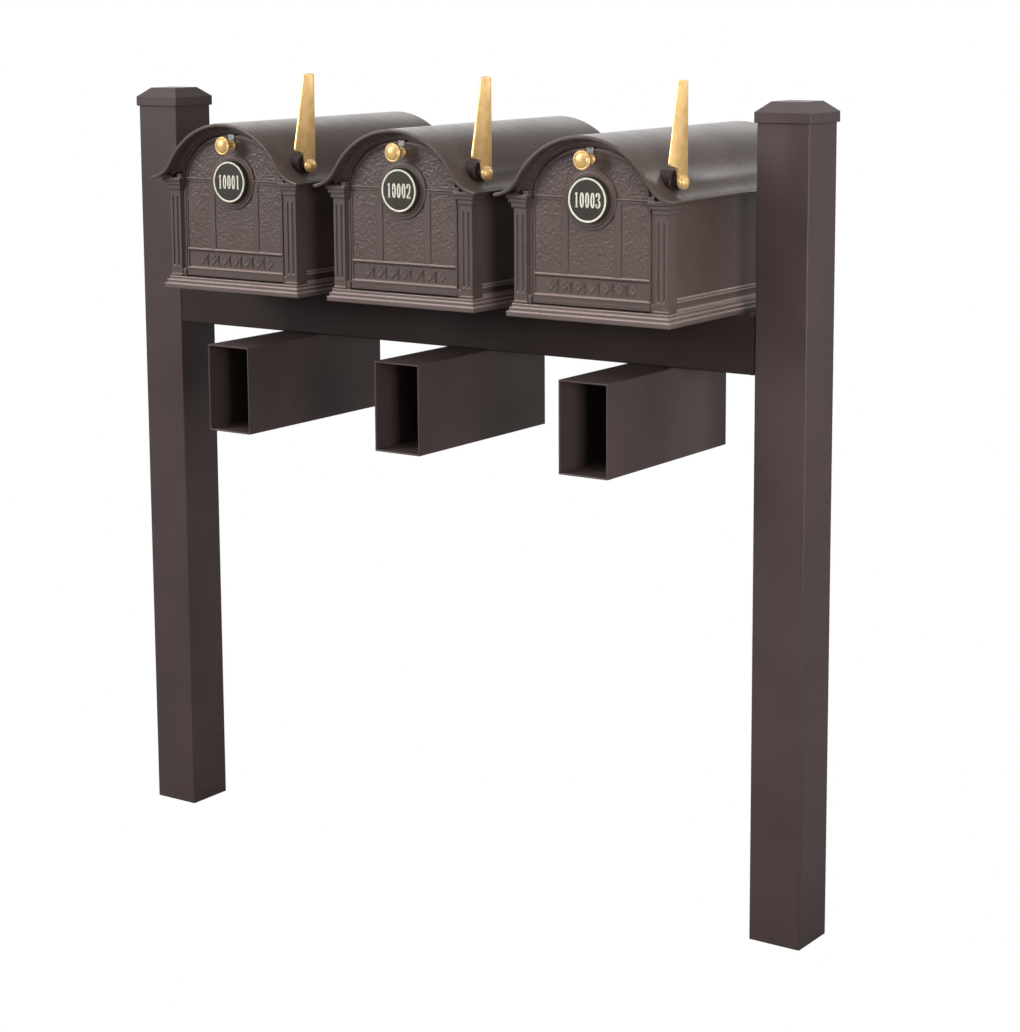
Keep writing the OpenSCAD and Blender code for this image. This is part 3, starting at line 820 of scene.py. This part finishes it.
def build_plate_ring():
    """Cream ring with a rounded top, let into the plate's raised rim."""
    mid, half = (RING_OUT + RING_IN) / 2, (RING_OUT - RING_IN) / 2
    section = [(RING_OUT, RING_LAND_Y + RING_SINK)]
    for i in range(RING_ARC_STEPS + 1):
        t = math.pi * i / RING_ARC_STEPS
        section.append((mid + half * math.cos(t), RING_CROWN_Y - RING_CROWN * math.sin(t)))
    section.append((RING_IN, CREAM_BACK))
    bm = bmesh.new()
    hoop(bm, [
        [(r * math.cos(t), y, SPRING_Z + r * math.sin(t)) for r, y in section]
        for t in turns(RING_SIDES)
    ])
    return finish_mesh(bm, "plate_ring", smooth_deg=50)


# ---------------------------------------------------------------- frieze on the door


def add_relief(bm, outline):
    """A raised shape with sloping flanks and a sunk middle."""
    cx = sum(x for x, z in outline) / len(outline)
    cz = sum(z for x, z in outline) / len(outline)
    loft(bm, [
        [(cx + (x - cx) * share, FIELD_Y + y, cz + (z - cz) * share) for x, z in outline]
        for share, y in RELIEF
    ])


def add_bead(bm, x):
    """A small half-round bead on the door's foot rail."""
    rings = []
    for i in range(BEAD_RINGS):
        t = math.radians(BEAD_RING_DEG * i)
        r, y = BEAD_R * math.cos(t), FOOT_RAIL_Y + BEAD_SINK - BEAD_R * math.sin(t)
        rings.append([
            (x + r * math.cos(a), y, BEAD_Z + r * math.sin(a)) for a in turns(BEAD_SIDES)
        ])
    loft(bm, rings)


def build_frieze():
    """Plain relief in place of lettering: lozenges between bars, over a row of fine beads."""
    bm = bmesh.new()
    low, high = FRIEZE_Z - FRIEZE_HH, FRIEZE_Z + FRIEZE_HH
    for i in range(FRIEZE_COUNT):
        x = (i - (FRIEZE_COUNT - 1) / 2) * FRIEZE_PITCH
        add_relief(bm, [
            (x - LOZENGE_HW, FRIEZE_Z), (x, low), (x + LOZENGE_HW, FRIEZE_Z), (x, high)
        ])
        if i:
            left, right = x - FRIEZE_PITCH / 2 - BAR_HW, x - FRIEZE_PITCH / 2 + BAR_HW
            add_relief(bm, [(left, low), (right, low), (right, high), (left, high)])
    for i in range(BEAD_COUNT):
        add_bead(bm, (i - BEAD_COUNT // 2) * BEAD_PITCH)
    return finish_mesh(bm, "door_frieze", smooth_deg=30)


# ---------------------------------------------------------------- flag


def build_flag():
    """Cast flag: a tapered blade with rounded edges, and a round hub with a rolled rim.

    The hub is open in the middle for the pivot bolt, but the blade isn't: its lower edge crosses
    the bolt's shank, out of sight inside the hub.
    """
    near, far = (
        [(x, PIVOT_Y + y, PIVOT_Z + z) for y, z in BLADE_OUTLINE]
        for x in (BLADE_X, BLADE_X + BLADE_T)
    )
    bm = bmesh.new()
    add_prism(bm, near, far)
    bmesh.ops.bevel(
        bm, geom=list(bm.edges), offset=BLADE_EDGE_R, segments=3, profile=0.5, affect="EDGES"
    )
    hoop(bm, [
        [(BLADE_X + x, PIVOT_Y + r * math.cos(a), PIVOT_Z + r * math.sin(a))
         for r, x in HUB_PROFILE]
        for a in turns(HUB_SIDES)
    ])
    return finish_mesh(bm, "flag_blade", smooth_deg=40)


# ---------------------------------------------------------------- newspaper boxes


def build_hem(low, high):
    """Folded hem round the mouth of the newspaper box between two corners given in metres."""
    x0, x1, z0, z1, front = (v / MM for v in (low.x, high.x, low.z, high.z, low.y))
    lap = NEWS_T + HEM_LAP
    profile = (  # distance in from the box's outer face, place along Y
        (NEWS_T, front + HEM_DEEP), (lap, front + HEM_DEEP - 0.6), (lap, front + HEM_R),
        (lap - HEM_R, front + 0.05), (HEM_R, front + 0.05), (0.02, front + HEM_R),
        (0.3, front + HEM_R + 1.2), (NEWS_T * 0.6, front + 3),
    )
    bm = bmesh.new()
    hoop(bm, [
        [(x0 + d, y, z0 + d), (x1 - d, y, z0 + d), (x1 - d, y, z1 - d), (x0 + d, y, z1 - d)]
        for d, y in profile
    ])
    return finish_mesh(bm, "newspaper_hem", smooth_deg=30)


# ---------------------------------------------------------------- build


def build_pieces():
    casting, sheet = FINISHES["casting"], FINISHES["sheet_powder_coat"]
    roof, fields, sides = build_roof(), build_door_fields(), build_side_skins()
    ring, frieze, flag = build_plate_ring(), build_frieze(), build_flag()
    for k in BOXES:
        at, door = origin(k), f"door_{k}"
        shell = place(roof, f"mailbox_{k}_roof_shell", ROOF_FINISH, "frame", at)
        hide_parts(f"mailbox_{k}_roof")
        place(sides, f"mailbox_{k}_pebbled_sides", PEBBLE_FINISH, "frame", at)
        place(fields, f"mailbox_{k}_pebbled_fields", PEBBLE_FINISH, door, at)
        place(frieze, f"mailbox_{k}_frieze", casting, door, at)
        place(ring, f"mailbox_{k}_plate_ring", CREAM, door, at)
        place(build_digits(k), f"mailbox_{k}_numerals", CREAM, door, at)
        blade = place(
            flag, f"mailbox_{k}_flag_blade", FINISHES["gold_finish"], f"flag_{k}", at
        )
        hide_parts(f"mailbox_{k}_flag")
        hem = build_hem(*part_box(f"newspaper_box_{k}"))
        place(hem, f"newspaper_box_{k}_hem", sheet, "frame")


# ---------------------------------------------------------------- floor, light and camera


def white_to_camera(tree, lit, white, output):
    """Shows the camera plain white, while light and reflections still meet the shader lit."""
    seen = tree.nodes.new("ShaderNodeLightPath").outputs["Is Camera Ray"]
    blend = tree.nodes.new("ShaderNodeMixShader")
    tree.links.new(seen, blend.inputs["Fac"])
    tree.links.new(lit.outputs[0], blend.inputs[1])
    tree.links.new(white.outputs[0], blend.inputs[2])
    tree.links.new(blend.outputs[0], tree.nodes[output].inputs["Surface"])


def floor():
    bm = bmesh.new()
    bmesh.ops.create_grid(bm, x_segments=1, y_segments=1, size=FLOOR_HALF)
    mesh = bpy.data.meshes.new("floor")
    bm.to_mesh(mesh)
    bm.free()
    made, tree, out = shader("floor_white")
    out.inputs["Base Color"].default_value = FLOOR_GREY
    out.inputs["Roughness"].default_value = 0.9
    paper = node(tree, "ShaderNodeEmission", Color=WHITE, Strength=1.0)
    white_to_camera(tree, out, paper, "Material Output")
    mesh.materials.append(made)
    obj = bpy.data.objects.new("floor", mesh)
    bpy.context.scene.collection.objects.link(obj)
    obj.location = (0, 0, cad_low.z - FLOOR_DROP)


def world():
    made = bpy.data.worlds.new("studio")
    bpy.context.scene.world = made
    made.use_nodes = True
    tree = made.node_tree
    fill = tree.nodes["Background"]
    fill.inputs["Color"].default_value = WHITE
    fill.inputs["Strength"].default_value = WORLD_FILL
    white = node(tree, "ShaderNodeBackground", Color=WHITE, Strength=1.0)
    white_to_camera(tree, fill, white, "World Output")


def sun():
    data = bpy.data.lights.new("top_light", "SUN")
    data.energy = SUN_STRENGTH
    data.angle = math.radians(SUN_SOFTNESS)
    obj = bpy.data.objects.new("top_light", data)
    obj.rotation_euler = (math.radians(SUN_TURN[0]), math.radians(SUN_TURN[1]), 0)
    bpy.context.scene.collection.objects.link(obj)


def softbox(name, at, aim, size, power, spread):
    data = bpy.data.lights.new(name, "AREA")
    data.shape = "RECTANGLE"
    data.size, data.size_y = size
    data.energy = power
    data.spread = math.radians(spread)
    obj = bpy.data.objects.new(name, data)
    obj.location = at
    obj.rotation_euler = (Vector(aim) - Vector(at)).to_track_quat("-Z", "Y").to_euler()
    obj.visible_camera = False
    bpy.context.scene.collection.objects.link(obj)


def camera():
    data = bpy.data.cameras.new("camera")
    data.sensor_fit = "VERTICAL"
    data.sensor_height = SENSOR_MM
    data.lens = LENS_MM
    data.shift_y = LENS_SHIFT
    data.clip_end = CLIP_END
    obj = bpy.data.objects.new("camera", data)
    obj.location = CAMERA_AT
    obj.rotation_euler = (math.pi / 2 - CAMERA_DOWN, 0, CAMERA_YAW)
    obj.rotation_euler.rotate_axis("Z", CAMERA_ROLL)
    bpy.context.scene.collection.objects.link(obj)
    bpy.context.scene.camera = obj
    bpy.context.scene.view_settings.view_transform = "Standard"


finish_cad_nodes()
build_pieces()
floor()
world()
sun()
for box in SOFTBOXES:
    softbox(*box)
camera()
